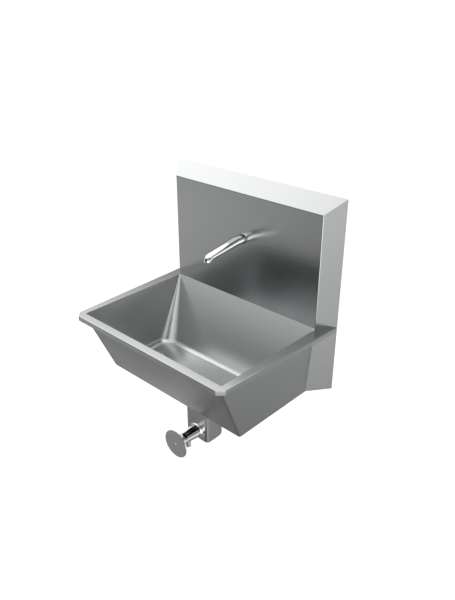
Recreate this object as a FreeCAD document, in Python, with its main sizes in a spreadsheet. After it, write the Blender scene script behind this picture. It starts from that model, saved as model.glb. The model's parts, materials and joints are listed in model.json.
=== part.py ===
"""Wall-hung stainless steel hand wash sink with a knee-pushed valve.

Millimetres, +Z up. The wall is the plane Y = 0, the user stands at -Y, and Z = 0
is the level of the deck round the bowl. X = 0 is the middle of the sink.
"""
import FreeCAD, Part
import math
import os
import re
import Sketcher

# ---------------------------------------------------------------- driving dimensions
DIMENSIONS = {
    # deck and bowl
    "sheet": 1.5,                 # thickness of the folded steel sheet
    "wall_half": 275,             # half of the width against the wall
    "front_half": 257,            # half of the deck's width at the front
    "deck_depth": 400,            # wall to front edge
    "lip_height": 13.3,           # edge of the deck, turned down
    "corner_cut": 15.6,           # leg of the bevelled front corners
    "edge_round": 2.4,            # rounding of the deck's upper edge
    "front_strip": 21.5,          # deck in front of the bowl
    "mouth_half": 241.5,          # half of the bowl's mouth at the splashback
    "mouth_taper": 2,             # how much narrower each side of the mouth is at the front
    "mouth_corner": 4,
    "bowl_depth": 155,
    "bowl_wall": 1.6,             # level thickness of the sloping bowl walls
    "floor_half": 190,
    "floor_rear": 150,            # wall to the rear edge of the bowl floor
    "floor_front": 313,           # wall to the front edge of the bowl floor
    "floor_corner": 40,
    "cove": 18,                   # inner radius round the bowl floor
    # casing under the deck
    "casing_gap": 27.5,           # bowl floor to the casing's lowest point
    "casing_front": 386,          # wall to the front panel, at the deck
    "casing_foot": 309,           # wall to the front panel, at the bottom
    "casing_foot_half": 232.6,    # half width at the bottom
    "casing_round": 5,
    "return_width": 20,           # flanges that lie against the wall
    "window_radius": 45,          # opening in the base round the waste
    "service_radius": 34,         # opening in the base over the valve
    # splashback and what hangs it
    "splash_depth": 45,
    "splash_front_height": 292,
    "splash_wall_height": 327,
    "splash_round": 3,
    "flange_drop": 33,            # depth of the top flange that hooks on the hanger
    "rail_inset": 25,             # the rail ends this far inside the back's edges
    "rail_height": 40,
    "rail_thick": 5,
    "hanger_half": 180,
    "hanger_height": 64,
    "hanger_thick": 3,
    "hook_gap": 5,
    "hook_height": 18,
    "hanger_hole": 4.5,           # radius
    "hanger_hole_pitch": 280,
    # waste
    "waste_x": -140,
    "waste_out": 241,             # wall to the waste
    "recess_radius": 33.5,
    "recess_depth": 3.2,
    "waste_hole": 21.8,
    "flange_radius": 32,
    "flange_thick": 2,
    "seal_thick": 1,
    "thread_radius": 21.5,        # thread under the waste's flange, for its nut
    "tail_radius": 20.95,         # spigot below the thread, for the trap
    "tail_bore": 17,
    "tail_length": 66,
    "spigot_length": 45,
    "grid_hole": 2.9,
    "grid_circle": 10.5,
    "grid_thick": 1.2,
    "grid_count": 8,
    "grid_ledge": 2,              # ledge in the waste that the grid drops on
    "hub_radius": 3.6,
    "hub_depth": 9,
    "rib_width": 2.4,
    "waste_nut_height": 8,
    "waste_nut_flats": 54,
    "waste_washer_thick": 2.5,
    "waste_screw_length": 9.2,
    "waste_screw_head": 1.4,
    "waste_screw_bevel": 1,
    # service shroud
    "shroud_half": 41.5,
    "shroud_front": 225.5,        # wall to its flat front
    "shroud_bottom": 359,         # below the deck
    "shroud_corner": 10,
    "shroud_flat": 0.5,           # half of the short flat at the middle of the round rear
    "shroud_wall": 2,
    "tab_half": 57,
    "tab_front": 241,
    "tab_rear": 129,
    "tab_corner": 8,
    "screw_inset": 8,
    "screw_radius": 2.5,
    "screw_clearance": 0.1,
    "screw_head_radius": 4.75,
    "screw_head_height": 3,
    "insert_radius": 4.5,
    "insert_height": 6,
    # knee valve, along a level axis
    "valve_drop": 335.1,          # below the deck
    "shank_radius": 14,
    "shank_chamfer": 1,
    "shank_clearance": 0.2,
    "rose_radius": 22.5,
    "rose_thick": 3,
    "rose_bevel": 2,
    "cone_wide": 19.5,
    "cone_narrow": 14.5,
    "collar_rear": 272,           # wall to the rear of the collar's rim
    "collar_rim": 8,
    "collar_radius": 16,
    "collar_spigot": 6,
    "collar_bevel": 2,
    "chamber_radius": 11,
    "chamber_rear": 240,
    "cartridge_radius": 9,
    "cartridge_length": 50,
    "cartridge_floor": 10,
    "waterway_rear": 164,
    "valve_rear": 160,
    "port_out": 176,              # wall to the two ports
    "outlet_rise": 35,            # outlet port above the valve axis
    "outlet_radius": 10,
    "inlet_drop": 40,             # inlet port below the valve axis
    "inlet_radius": 10.45,        # thread for the supply pipe
    "inlet_thread": 15,           # its length
    "inlet_boss": 11.4,
    "port_bore": 5.5,
    "inlet_hole": 12.5,
    "backnut_flats": 36,
    "backnut_height": 7,
    "washer_radius": 21,
    "washer_thick": 1.5,
    "stub_out": 257,              # wall to the adjuster
    "boss_drop": 18.5,
    "boss_radius": 8.2,
    "cap_length": 19,
    "cap_radius": 7.5,
    "cap_bevel": 2.6,
    # push stem and pad
    "stem_radius": 5,
    "stem_clearance": 0.06,
    "stem_rear": 215,
    "thrust_radius": 9.5,
    "thrust_thick": 3,
    "stop_gap": 0.1,
    "pad_radius": 40.6,
    "pad_front": 304.4,
    "pad_thick": 2.6,
    "pad_round": 1.2,
    "pad_hub_radius": 9,
    "pad_hub_length": 10,
    "pad_hub_chamfer": 1,
    "stem_recess": 1,             # the stem's shoulder lies this far behind the pad's face
    "pad_screw_radius": 2,
    "pad_screw_length": 16,
    "pad_screw_head": 3.6,
    "pad_screw_dome": 1.2,
    "pad_screw_bevel": 1,
    "seal_radius": 1.15,
    "seal_room": 0.1,             # how much wider the groove is than the seal
    "seal_inset": 1,              # groove behind the collar's rim
    "spring_radius": 7.6,
    "spring_wire": 0.6,           # radius of the wire
    "spring_turns": 6,
    "spring_gap": 0.2,            # between the coil and each of its seats
    # pipe to the spout
    "pipe_radius": 6,
    "pipe_bore": 5,
    "pipe_out": 24,               # wall to the rising leg
    "pipe_low_bend": 196,         # below the deck
    "pipe_high_bend": 55,
    "pipe_bend": 38,
    "pipe_hole": 9,
    "union_flats": 24,
    "union_height": 14,
    # spout
    "spout_height": 172.5,        # above the deck
    "spout_root": 13.5,           # radius at the splashback
    "spout_knee": 13,             # radius where the arm starts to fall
    "spout_end": 10,              # radius at the nozzle
    "bend_step": 0.1,             # the balls at knee and bend stand this proud of the arm
    "spout_straight": 26,         # level stretch before the knee
    "spout_reach": 170,           # wall to the nozzle bend
    "spout_fall": 14.5,           # drop of the arm to the bend
    "nozzle_lean": 12,            # degrees from plumb
    "nozzle_length": 11,
    "nozzle_bore": 7.5,
    "nozzle_bore_depth": 9,
    "nozzle_taper": 0.6,
    "gasket_thick": 1,
    "gasket_inset": 0.6,          # the gasket is this much smaller than the spout's root
    "spout_shank": 10.4,
    "spout_hole": 11,
    "shank_length": 30,
    "spout_nut_flats": 27,
    "spout_nut_height": 6,
    "elbow_radius": 13,
    "elbow_length": 20,
    "elbow_drop": 22,
    "elbow_leg": 9,
    "elbow_bevel": 2,
    "insert_thick": 6,
    "insert_inset": 1,            # above the nozzle's mouth
    "insert_count": 6,
    "insert_hole": 1.5,
    "insert_circle": 4.4,
    # earth tag
    "tag_inset": 42.6,            # middle of the tag to the base's corner
    "tag_out": 85,
    "tag_width": 20,
    "tag_drop": 22,
    "tag_hole": 3.2,
    "tag_clearance": 0.2,
    "earth_bolt_length": 8,
    "earth_nut_height": 4,
}

doc = FreeCAD.newDocument("hand_wash_sink")
sheet = doc.addObject("Spreadsheet::Sheet", "Dimensions")
for row, (alias, number) in enumerate(DIMENSIONS.items(), start=1):
    sheet.set("A%d" % row, alias)
    sheet.set("B%d" % row, str(number))
    sheet.setAlias("B%d" % row, alias)
doc.recompute()

OVER = "1"                       # how far a cut runs past the face it opens
CASING_DEPTH = "(bowl_depth + casing_gap)"
RAIL_HALF = "(wall_half - rail_inset)"
SUB_PARTS = []
V = FreeCAD.Vector


# ---------------------------------------------------------------- modelling helpers
def link(text):
    """Turn the aliases in an expression into references to the sheet."""
    def refer(match):
        word = match.group(0)
        return "Dimensions." + word if word in DIMENSIONS else word
    return re.sub(r"[a-z]+(?:_[a-z]+)*", refer, str(text))


def number(text):
    """Value of an expression, for a sketch's first shape and for choosing edges."""
    return float(sheet.evalExpression(link(text)))


def new_body(label, x="0", y="0", z="0", turn=None):
    """An empty body with a name, a place bound to the sheet and a fixed turn."""
    body = doc.addObject("PartDesign::Body", label)
    body.Label = label
    if turn:
        body.Placement.Rotation = turn
    for axis, place in zip("xyz", (x, y, z)):
        body.setExpression("Placement.Base." + axis, link(place))
    SUB_PARTS.append(body)
    return body


def origin_plane(body, role):
    return [item for item in body.Origin.OriginFeatures if item.Role == role][0]


def new_sketch(body, name, plane="XY_Plane", level="0"):
    """A sketch on one of the body's own planes, moved along its normal."""
    sketch = body.newObject("Sketcher::SketchObject", name)
    sketch.AttachmentSupport = [(origin_plane(body, plane), "")]
    sketch.MapMode = "FlatFace"
    sketch.setExpression("AttachmentOffset.Base.z", link(level))
    return sketch


def place_point(sketch, curve, end, x, y):
    """Bind a point of the sketch to two expressions."""
    for kind, place in (("DistanceX", x), ("DistanceY", y)):
        rule = Sketcher.Constraint(kind, -1, 1, curve, end, number(place))
        index = sketch.addConstraint(rule)
        sketch.setExpression("Constraints[%d]" % index, link(place))


def add_outline(sketch, corners):
    """A closed outline of straight lines through corners given as expressions."""
    first = sketch.GeometryCount
    count = len(corners)
    places = [V(number(x), number(y), 0) for x, y in corners]
    for i in range(count):
        sketch.addGeometry(Part.LineSegment(places[i], places[(i + 1) % count]), False)
    for i in range(count):
        after = first + (i + 1) % count
        sketch.addConstraint(Sketcher.Constraint("Coincident", first + i, 2, after, 1))
    for i, (x, y) in enumerate(corners):
        place_point(sketch, first + i, 1, x, y)


def outline(body, name, corners, plane="XY_Plane", level="0"):
    sketch = new_sketch(body, name, plane, level)
    add_outline(sketch, corners)
    return sketch


def circles(body, name, rings, plane="XY_Plane", level="0"):
    """A sketch of circles, each given as x, y and radius."""
    sketch = new_sketch(body, name, plane, level)
    for x, y, radius in rings:
        circle = Part.Circle(V(number(x), number(y), 0), V(0, 0, 1), number(radius))
        curve = sketch.addGeometry(circle, False)
        place_point(sketch, curve, 3, x, y)
        rule = Sketcher.Constraint("Radius", curve, number(radius))
        index = sketch.addConstraint(rule)
        sketch.setExpression("Constraints[%d]" % index, link(radius))
    return sketch


def rounded(body, name, corners, radii, plane="XY_Plane", level="0"):
    """A four-cornered outline, anticlockwise, whose corners are tangent arcs."""
    sketch = new_sketch(body, name, plane, level)
    places = [V(number(x), number(y), 0) for x, y in corners]
    sizes = [number(radius) for radius in radii]
    joins = []
    for i, place in enumerate(places):
        before = (places[i - 1] - place).normalize()
        after = (places[(i + 1) % 4] - place).normalize()
        half = before.getAngle(after) / 2
        reach = sizes[i] / math.tan(half)
        centre = place + (before + after).normalize() * (sizes[i] / math.sin(half))
        joins.append((place + before * reach, centre, place + after * reach))
    for i in range(4):
        start, centre, end = joins[i]
        middle = centre + (places[i] - centre).normalize() * sizes[i]
        sketch.addGeometry(Part.Arc(start, middle, end), False)
        sketch.addGeometry(Part.LineSegment(end, joins[(i + 1) % 4][0]), False)
    for i in range(4):
        arc, line, next_arc = 2 * i, 2 * i + 1, (2 * i + 2) % 8
        sketch.addConstraint(Sketcher.Constraint("Tangent", arc, 2, line, 1))
        sketch.addConstraint(Sketcher.Constraint("Tangent", line, 2, next_arc, 1))
        rule = Sketcher.Constraint("Radius", arc, sizes[i])
        index = sketch.addConstraint(rule)
        sketch.setExpression("Constraints[%d]" % index, link(radii[i]))
    for i, (x, y) in enumerate(corners):
        point = sketch.addGeometry(Part.Point(places[i]), True)
        place_point(sketch, point, 1, x, y)
        sketch.addConstraint(Sketcher.Constraint("PointOnObject", point, 1, 2 * i + 1))
        before_line = (2 * i - 1) % 8
        sketch.addConstraint(Sketcher.Constraint("PointOnObject", point, 1, before_line))
    return sketch


def feature(body, kind, name, sketch):
    item = body.newObject("PartDesign::" + kind, name)
    item.Profile = sketch
    sketch.Visibility = False
    return item


def pad(body, name, sketch, length, back=False):
    """A pad along the sketch's normal, or back against it."""
    item = feature(body, "Pad", name, sketch)
    item.setExpression("Length", link(length))
    item.Reversed = back
    return item


def cut(body, name, sketch, length, along=False):
    """A pocket that must take material away; along cuts up the sketch's normal."""
    doc.recompute()
    before = body.Shape.Volume
    item = feature(body, "Pocket", name, sketch)
    item.setExpression("Length", link(length))
    item.Reversed = along
    doc.recompute()
    if not before - body.Shape.Volume > 1e-3:
        raise ValueError("%s cuts nothing" % name)
    return item


def holes_round(body, name, outline_of_one, length, count):
    """A ring of equal holes about the body's own axis, cut from one outline."""
    one = cut(body, name + "_first", outline_of_one, length)
    pattern = body.newObject("PartDesign::PolarPattern", name)
    pattern.Originals = [one]
    pattern.Axis = (outline_of_one, ["N_Axis"])
    pattern.Angle = 360
    pattern.setExpression("Occurrences", link(count))
    body.Tip = pattern


def loft(body, kind, name, first, second):
    item = feature(body, kind + "Loft", name, first)
    item.Sections = [second]
    item.Ruled = True
    return item


def spin(body, name, sketch, kind="Revolution"):
    """Turn a profile about the sketch's upright axis."""
    item = feature(body, kind, name, sketch)
    item.ReferenceAxis = (sketch, ["V_Axis"])
    item.Angle = 360
    return item


def soften(body, name, radius, chosen, kind="Fillet"):
    """Fillet the edges of the body's tip for which chosen(edge) is true."""
    doc.recompute()
    tip = body.Tip
    names = ["Edge%d" % i for i, edge in enumerate(tip.Shape.Edges, 1) if chosen(edge)]
    if not names:
        raise ValueError("%s finds no edges" % name)
    item = body.newObject("PartDesign::" + kind, name)
    item.Base = (tip, names)
    item.setExpression("Radius", link(radius))
    return item


def turned(label, profile, x="0", y="0", z="0", turn=None):
    """A piece turned about its own Z axis from corners given as radius and height."""
    body = new_body(label, x, y, z, turn)
    spin(body, label + "_turning", outline(body, label + "_profile", profile, "XZ_Plane"))
    return body


def ring(inner, outer, low, high):
    """Corners of a plain ring's section."""
    return [(inner, low), (outer, low), (outer, high), (inner, high)]


def nut(label, flats, bore, low, height, x="0", y="0", z="0", turn=None):
    """A hexagon nut on the axis, from a height upwards."""
    body = new_body(label, x, y, z, turn)
    side = "(%s) / 2" % flats
    tip = "(%s) / sqrt(3)" % flats
    corners = [("-(%s) / 2" % tip, "-" + side), ("(%s) / 2" % tip, "-" + side), (tip, "0"),
               ("(%s) / 2" % tip, side), ("-(%s) / 2" % tip, side), ("-" + tip, "0")]
    pad(body, label + "_hexagon", outline(body, label + "_outline", corners, level=low), height)
    hole = circles(body, label + "_bore", [("0", "0", bore)], level=low)
    cut(body, label + "_opening", hole, height, along=True)
    return body


def level_at(edge, height):
    """Whether an edge lies wholly at one height."""
    box = edge.BoundBox
    return abs(box.ZMin - height) < 0.01 and abs(box.ZMax - height) < 0.01


TO_FRONT = FreeCAD.Rotation(V(1, 0, 0), 90)      # a piece's own Z then points at the user


# ---------------------------------------------------------------- deck and bowl
FLARE = "mouth_taper / (deck_depth - front_strip - splash_depth)"
MOUTH_FRONT = "(deck_depth - front_strip)"


def side_x(half, out):
    """Half width at a distance from the wall, on the bowl's gently flaring sides."""
    return "(%s - %s * (%s - splash_depth))" % (half, FLARE, out)


def bowl_section(body, name, half, rear, front, corner, grow, level):
    """One level of the bowl: a rounded outline, grown by the wall's thickness."""
    rear_y = "-(%s) + %s" % (rear, grow)
    front_y = "-(%s) - %s" % (front, grow)
    rear_x = "(%s + %s)" % (side_x(half, rear), grow)
    front_x = "(%s + %s)" % (side_x(half, front), grow)
    corners = [("-" + front_x, front_y), (front_x, front_y), (rear_x, rear_y),
               ("-" + rear_x, rear_y)]
    return rounded(body, name, corners, ["%s + %s" % (corner, grow)] * 4, level=level)


def make_bowl_deck():
    body = new_body("bowl_deck")
    slope = "(wall_half - front_half) / deck_depth"
    cut_x = "(front_half + %s * corner_cut)" % slope
    deck = [("wall_half", "0"), (RAIL_HALF, "0"), (RAIL_HALF, "-rail_thick"),
            ("-" + RAIL_HALF, "-rail_thick"), ("-" + RAIL_HALF, "0"), ("-wall_half", "0"),
            ("-" + cut_x, "-deck_depth + corner_cut"), ("-front_half + corner_cut", "-deck_depth"),
            ("front_half - corner_cut", "-deck_depth"), (cut_x, "-deck_depth + corner_cut")]
    pad(body, "deck", outline(body, "deck_outline", deck, level="-lip_height"), "lip_height")
    bevel = "sheet * tan(45deg / 2)"
    under = [("wall_half - sheet", "0"), ("-wall_half + sheet", "0"),
             ("-%s + sheet" % cut_x, "-deck_depth + corner_cut + %s" % bevel),
             ("-front_half + corner_cut + %s" % bevel, "-deck_depth + sheet"),
             ("front_half - corner_cut - %s" % bevel, "-deck_depth + sheet"),
             ("%s - sheet" % cut_x, "-deck_depth + corner_cut + %s" % bevel)]
    hollow = outline(body, "deck_underside", under, level="-lip_height")
    cut(body, "deck_hollow", hollow, "lip_height - sheet", along=True)
    soften(body, "deck_edge", "edge_round", lambda edge: level_at(edge, 0)
           and edge.BoundBox.YMin < -number("2 * rail_thick"))

    mouth = bowl_section(body, "bowl_top", "mouth_half", "splash_depth", MOUTH_FRONT,
                         "mouth_corner", "bowl_wall", "0")
    foot = bowl_section(body, "bowl_foot", "floor_half", "floor_rear", "floor_front",
                        "floor_corner", "bowl_wall", "-bowl_depth - sheet")
    loft(body, "Additive", "bowl_outside", mouth, foot)
    mouth = bowl_section(body, "cavity_top", "mouth_half", "splash_depth", MOUTH_FRONT,
                         "mouth_corner", "0", "0")
    foot = bowl_section(body, "cavity_foot", "floor_half", "floor_rear", "floor_front",
                        "floor_corner", "0", "-bowl_depth")
    loft(body, "Subtractive", "bowl_inside", mouth, foot)
    floor = -number("bowl_depth")
    soften(body, "bowl_cove", "cove", lambda edge: level_at(edge, floor))
    bottom = -number("bowl_depth + sheet")
    soften(body, "bowl_outer_cove", "cove + sheet", lambda edge: level_at(edge, bottom))
    swell = circles(body, "recess_outline", [("waste_x", "-waste_out", "recess_radius + sheet")],
                    level="-bowl_depth - recess_depth - sheet")
    pad(body, "recess_swell", swell, "recess_depth + sheet / 2")
    recess = circles(body, "recess_top", [("waste_x", "-waste_out", "recess_radius")],
                     level="-bowl_depth")
    cut(body, "recess", recess, "recess_depth")
    hole = circles(body, "waste_hole_outline", [("waste_x", "-waste_out", "waste_hole")],
                   level="-bowl_depth")
    cut(body, "waste_opening", hole, "recess_depth + sheet + " + OVER)
    riser = circles(body, "riser_outline", [("0", "-pipe_out", "pipe_hole")])
    cut(body, "riser_hole", riser, "2 * sheet")


# ---------------------------------------------------------------- casing and base
WING_RATIO = "(wall_half - mouth_half) / splash_depth"
WING_OFFSET = "(sheet * sqrt(1 + (%s) ^ 2))" % WING_RATIO
SIDE_SLOPE = "(mouth_half - floor_half) / (bowl_depth + sheet)"
CASING_LEAN = ("((mouth_half + bowl_wall - lip_height * %s + sheet - casing_foot_half)"
               " / (%s - lip_height))" % (SIDE_SLOPE, CASING_DEPTH))
PANEL_LEAN = "((casing_front - casing_foot) / (%s - sheet))" % CASING_DEPTH


def casing_half(depth):
    """Outer half width of the side panels, which touch the bowl under the lip."""
    return "(casing_foot_half + %s * (%s - %s))" % (CASING_LEAN, CASING_DEPTH, depth)


def casing_section(body, name, depth, inside):
    """Plan of the casing at a depth below the deck, outside or one sheet inside."""
    skin = "sheet" if inside else "0"
    wing_skin = WING_OFFSET if inside else "0"
    front = "(casing_front - %s * (%s - sheet) - %s)" % (PANEL_LEAN, depth, skin)
    half = "(%s - %s)" % (casing_half(depth), skin)
    bend = "((wall_half - %s - %s) / (%s))" % (wing_skin, half, WING_RATIO)
    tail = "(wall_half - %s - %s * %s)" % (wing_skin, WING_RATIO, skin)
    narrow = "(%s - %s * (%s - %s))" % (half, FLARE, front, bend)
    corners = [("-" + tail, "-" + skin), ("-" + half, "-" + bend), ("-" + narrow, "-" + front),
               (narrow, "-" + front), (half, "-" + bend), (tail, "-" + skin)]
    return outline(body, name, corners, level="-(%s)" % depth)


def front_corner(edge):
    """Whether an edge is one of the casing's two leaning front corners."""
    box = edge.BoundBox
    tall = box.ZLength > number(CASING_DEPTH) / 2
    return tall and box.YMax < -number("casing_foot - casing_round")


def make_casing():
    body = new_body("casing")
    loft(body, "Additive", "casing_outside", casing_section(body, "casing_top", "sheet", False),
         casing_section(body, "casing_bottom", CASING_DEPTH, False))
    soften(body, "casing_corners", "casing_round", front_corner)
    loft(body, "Subtractive", "casing_inside", casing_section(body, "inner_top", "sheet", True),
         casing_section(body, "inner_bottom", CASING_DEPTH, True))
    window_x = "(wall_half - return_width)"
    rear = [("-" + window_x, "-" + CASING_DEPTH), (window_x, "-" + CASING_DEPTH), (window_x, "0"),
            ("-" + window_x, "0")]
    window = outline(body, "rear_window_outline", rear, "XZ_Plane")
    cut(body, "rear_window", window, "sheet + " + OVER, along=True)
    side = "(wall_half + %s)" % OVER
    front = "-(casing_front + %s)" % OVER
    apron_half = "(casing_foot_half - 2 * casing_round)"
    behind = "-(casing_front - %s * lip_height - 2 * sheet)" % PANEL_LEAN
    trim = [("-" + side, OVER), (side, OVER), (side, front), (apron_half, front),
            (apron_half, behind), ("-" + apron_half, behind), ("-" + apron_half, front),
            ("-" + side, front)]
    cut(body, "side_trim", outline(body, "side_trim_outline", trim), "lip_height")


def screw_places():
    """Centres of the four screws that hold the shroud."""
    x = "(tab_half - screw_inset)"
    front = "-(tab_front - screw_inset)"
    rear = "-(tab_rear + screw_inset)"
    return [("-" + x, front), (x, front), (x, rear), ("-" + x, rear)]


def make_base_panel():
    body = new_body("base_panel")
    plan = casing_section(body, "base_outline", CASING_DEPTH, True)
    pad(body, "base", plan, "sheet")
    level = "-" + CASING_DEPTH
    window = circles(body, "waste_window_outline", [("waste_x", "-waste_out", "window_radius")],
                     level=level)
    cut(body, "waste_window", window, "sheet", along=True)
    middle = "-(tab_front + tab_rear) / 2"
    service = circles(body, "service_outline", [("0", middle, "service_radius")], level=level)
    cut(body, "service_opening", service, "sheet", along=True)
    holes = [(x, y, "screw_radius") for x, y in screw_places()]
    cut(body, "screw_holes", circles(body, "screw_outline", holes, level=level), "sheet",
        along=True)
    notch = [("-" + RAIL_HALF, OVER), (RAIL_HALF, OVER), (RAIL_HALF, "-return_width"),
             ("-" + RAIL_HALF, "-return_width")]
    cut(body, "rear_notch", outline(body, "rear_notch_outline", notch, level=level), "sheet",
        along=True)


# ---------------------------------------------------------------- splashback and fixings
def splash_section(body, name, out, inside):
    """Upright section of the splashback at a distance from the wall."""
    rise = "((splash_wall_height - splash_front_height) / splash_depth)"
    half = "(wall_half - %s * %s)" % (WING_RATIO, out)
    top = "(splash_wall_height - %s * %s)" % (rise, out)
    if inside:
        half = "(%s - %s)" % (half, WING_OFFSET)
        top = "(%s - sheet * sqrt(1 + %s ^ 2))" % (top, rise)
    corners = [("-" + half, "0"), (half, "0"), (half, top), ("-" + half, top)]
    return outline(body, name, corners, "XZ_Plane", out)


def splash_fold(edge):
    """Whether an edge is a fold of the splashback's front."""
    box = edge.BoundBox
    in_front = box.YMax < -number("splash_depth") + 0.01
    return in_front and box.ZMax > number("splash_round")


def make_splashback():
    body = new_body("splashback")
    loft(body, "Additive", "splash_outside", splash_section(body, "splash_rear", "0", False),
         splash_section(body, "splash_front", "splash_depth", False))
    soften(body, "splash_folds", "splash_round", splash_fold)
    loft(body, "Subtractive", "splash_inside", splash_section(body, "void_rear", "sheet", True),
         splash_section(body, "void_front", "splash_depth - sheet", True))
    half = "(wall_half - return_width)"
    top = "splash_wall_height - flange_drop"
    rear = [("-" + half, "0"), (half, "0"), (half, top), ("-" + half, top)]
    cut(body, "splash_window", outline(body, "splash_window_outline", rear, "XZ_Plane"),
        "sheet", along=True)
    hole = circles(body, "spout_hole_outline", [("0", "spout_height", "spout_hole")],
                   "XZ_Plane", "splash_depth - 2 * sheet")
    cut(body, "spout_opening", hole, "3 * sheet", along=True)


def make_wall_rail():
    body = new_body("wall_rail")
    low = "-rail_height / 2"
    high = "rail_height / 2"
    corners = [("-" + RAIL_HALF, low), (RAIL_HALF, low), (RAIL_HALF, high), ("-" + RAIL_HALF, high)]
    pad(body, "rail", outline(body, "rail_outline", corners, "XZ_Plane"), "rail_thick")


def make_wall_hanger():
    """A folded hook screwed to the wall: the splashback's top flange drops into it."""
    body = new_body("wall_hanger")
    seat = "(splash_wall_height - flange_drop)"
    foot = "(%s - hanger_height)" % seat
    web = "(%s - hanger_thick)" % seat
    hook_out = "-(hook_gap + hanger_thick)"
    profile = [("0", foot), ("0", seat), ("-hook_gap", seat), ("-hook_gap", seat + " + hook_height"),
               (hook_out, seat + " + hook_height"), (hook_out, web), ("-hanger_thick", web),
               ("-hanger_thick", foot)]
    section = outline(body, "hanger_section", profile, "YZ_Plane", "-hanger_half")
    pad(body, "hanger_fold", section, "2 * hanger_half")
    height = "%s - hanger_height / 2" % seat
    holes = circles(body, "hanger_holes_outline",
                    [("-hanger_hole_pitch / 2", height, "hanger_hole"),
                     ("hanger_hole_pitch / 2", height, "hanger_hole")], "XZ_Plane")
    cut(body, "hanger_holes", holes, "hanger_thick + " + OVER, along=True)


# ---------------------------------------------------------------- waste
WASTE = {"x": "waste_x", "y": "-waste_out", "z": "-bowl_depth - recess_depth"}
FLANGE_LOW = "seal_thick"
FLANGE_TOP = "(seal_thick + flange_thick)"
TAIL_FOOT = "(%s - tail_length)" % FLANGE_TOP


def make_waste():
    """Grated waste: heights run from the floor of the recess."""
    turned("waste_seal", ring("waste_hole", "flange_radius", "0", "seal_thick"), **WASTE)
    grid_low = "(%s - grid_thick)" % FLANGE_TOP
    rib_low = "(%s - hub_depth)" % grid_low
    seat = "(tail_bore + grid_ledge)"
    step = "(%s + spigot_length)" % TAIL_FOOT
    profile = [("tail_bore", TAIL_FOOT), ("tail_radius", TAIL_FOOT), ("tail_radius", step),
               ("thread_radius", step), ("thread_radius", FLANGE_LOW),
               ("flange_radius", FLANGE_LOW), ("flange_radius", FLANGE_TOP + " - flange_thick / 2"),
               ("flange_radius - flange_thick / 2", FLANGE_TOP), (seat, FLANGE_TOP),
               (seat, grid_low), ("tail_bore", grid_low)]
    body = turned("waste_body", profile, **WASTE)
    hub = circles(body, "hub_outline", [("0", "0", "hub_radius")], level=rib_low)
    pad(body, "hub", hub, "hub_depth")
    reach = "(tail_bore + tail_radius) / 2"
    wide = "rib_width / 2"
    for name, x, y in (("rib_across", reach, wide), ("rib_along", wide, reach)):
        corners = [("-(%s)" % x, "-(%s)" % y), (x, "-(%s)" % y), (x, y), ("-(%s)" % x, y)]
        bar = outline(body, name + "_outline", corners, level=rib_low)
        pad(body, name, bar, "hub_depth")
    thread = circles(body, "screw_thread_outline", [("0", "0", "screw_radius")], level=grid_low)
    cut(body, "screw_thread", thread, "hub_depth + " + OVER)

    grid = turned("waste_grid", ring("screw_radius", seat, grid_low, FLANGE_TOP), **WASTE)
    hole = circles(grid, "grid_hole_outline", [("grid_circle", "0", "grid_hole")], level=FLANGE_TOP)
    holes_round(grid, "grid_holes", hole, "grid_thick", "grid_count")

    shank_low = "(%s - waste_screw_length)" % FLANGE_TOP
    head_top = "(%s + waste_screw_head)" % FLANGE_TOP
    screw = [("0", shank_low), ("screw_radius", shank_low), ("screw_radius", FLANGE_TOP),
             ("screw_head_radius", FLANGE_TOP),
             ("screw_head_radius - waste_screw_bevel", head_top), ("0", head_top)]
    turned("waste_screw", screw, **WASTE)

    washer_top = "-sheet"
    washer_low = "(-sheet - waste_washer_thick)"
    turned("waste_washer", ring("thread_radius", "flange_radius", washer_low, washer_top), **WASTE)
    nut("waste_backnut", "waste_nut_flats", "thread_radius", washer_low + " - waste_nut_height",
        "waste_nut_height", **WASTE)


# ---------------------------------------------------------------- service shroud
def shroud_section(body, name, shrink, level):
    """A flat front with small corners and a round rear."""
    half = "(shroud_half - %s)" % shrink
    front = "-(shroud_front - %s)" % shrink
    rear = "-(shroud_front - 2 * shroud_half + %s)" % shrink
    corners = [("-" + half, front), (half, front), (half, rear), ("-" + half, rear)]
    corner = "(shroud_corner - %s)" % shrink
    rear_corner = half + " - shroud_flat"
    return rounded(body, name, corners, [corner, corner, rear_corner, rear_corner], level=level)


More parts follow.
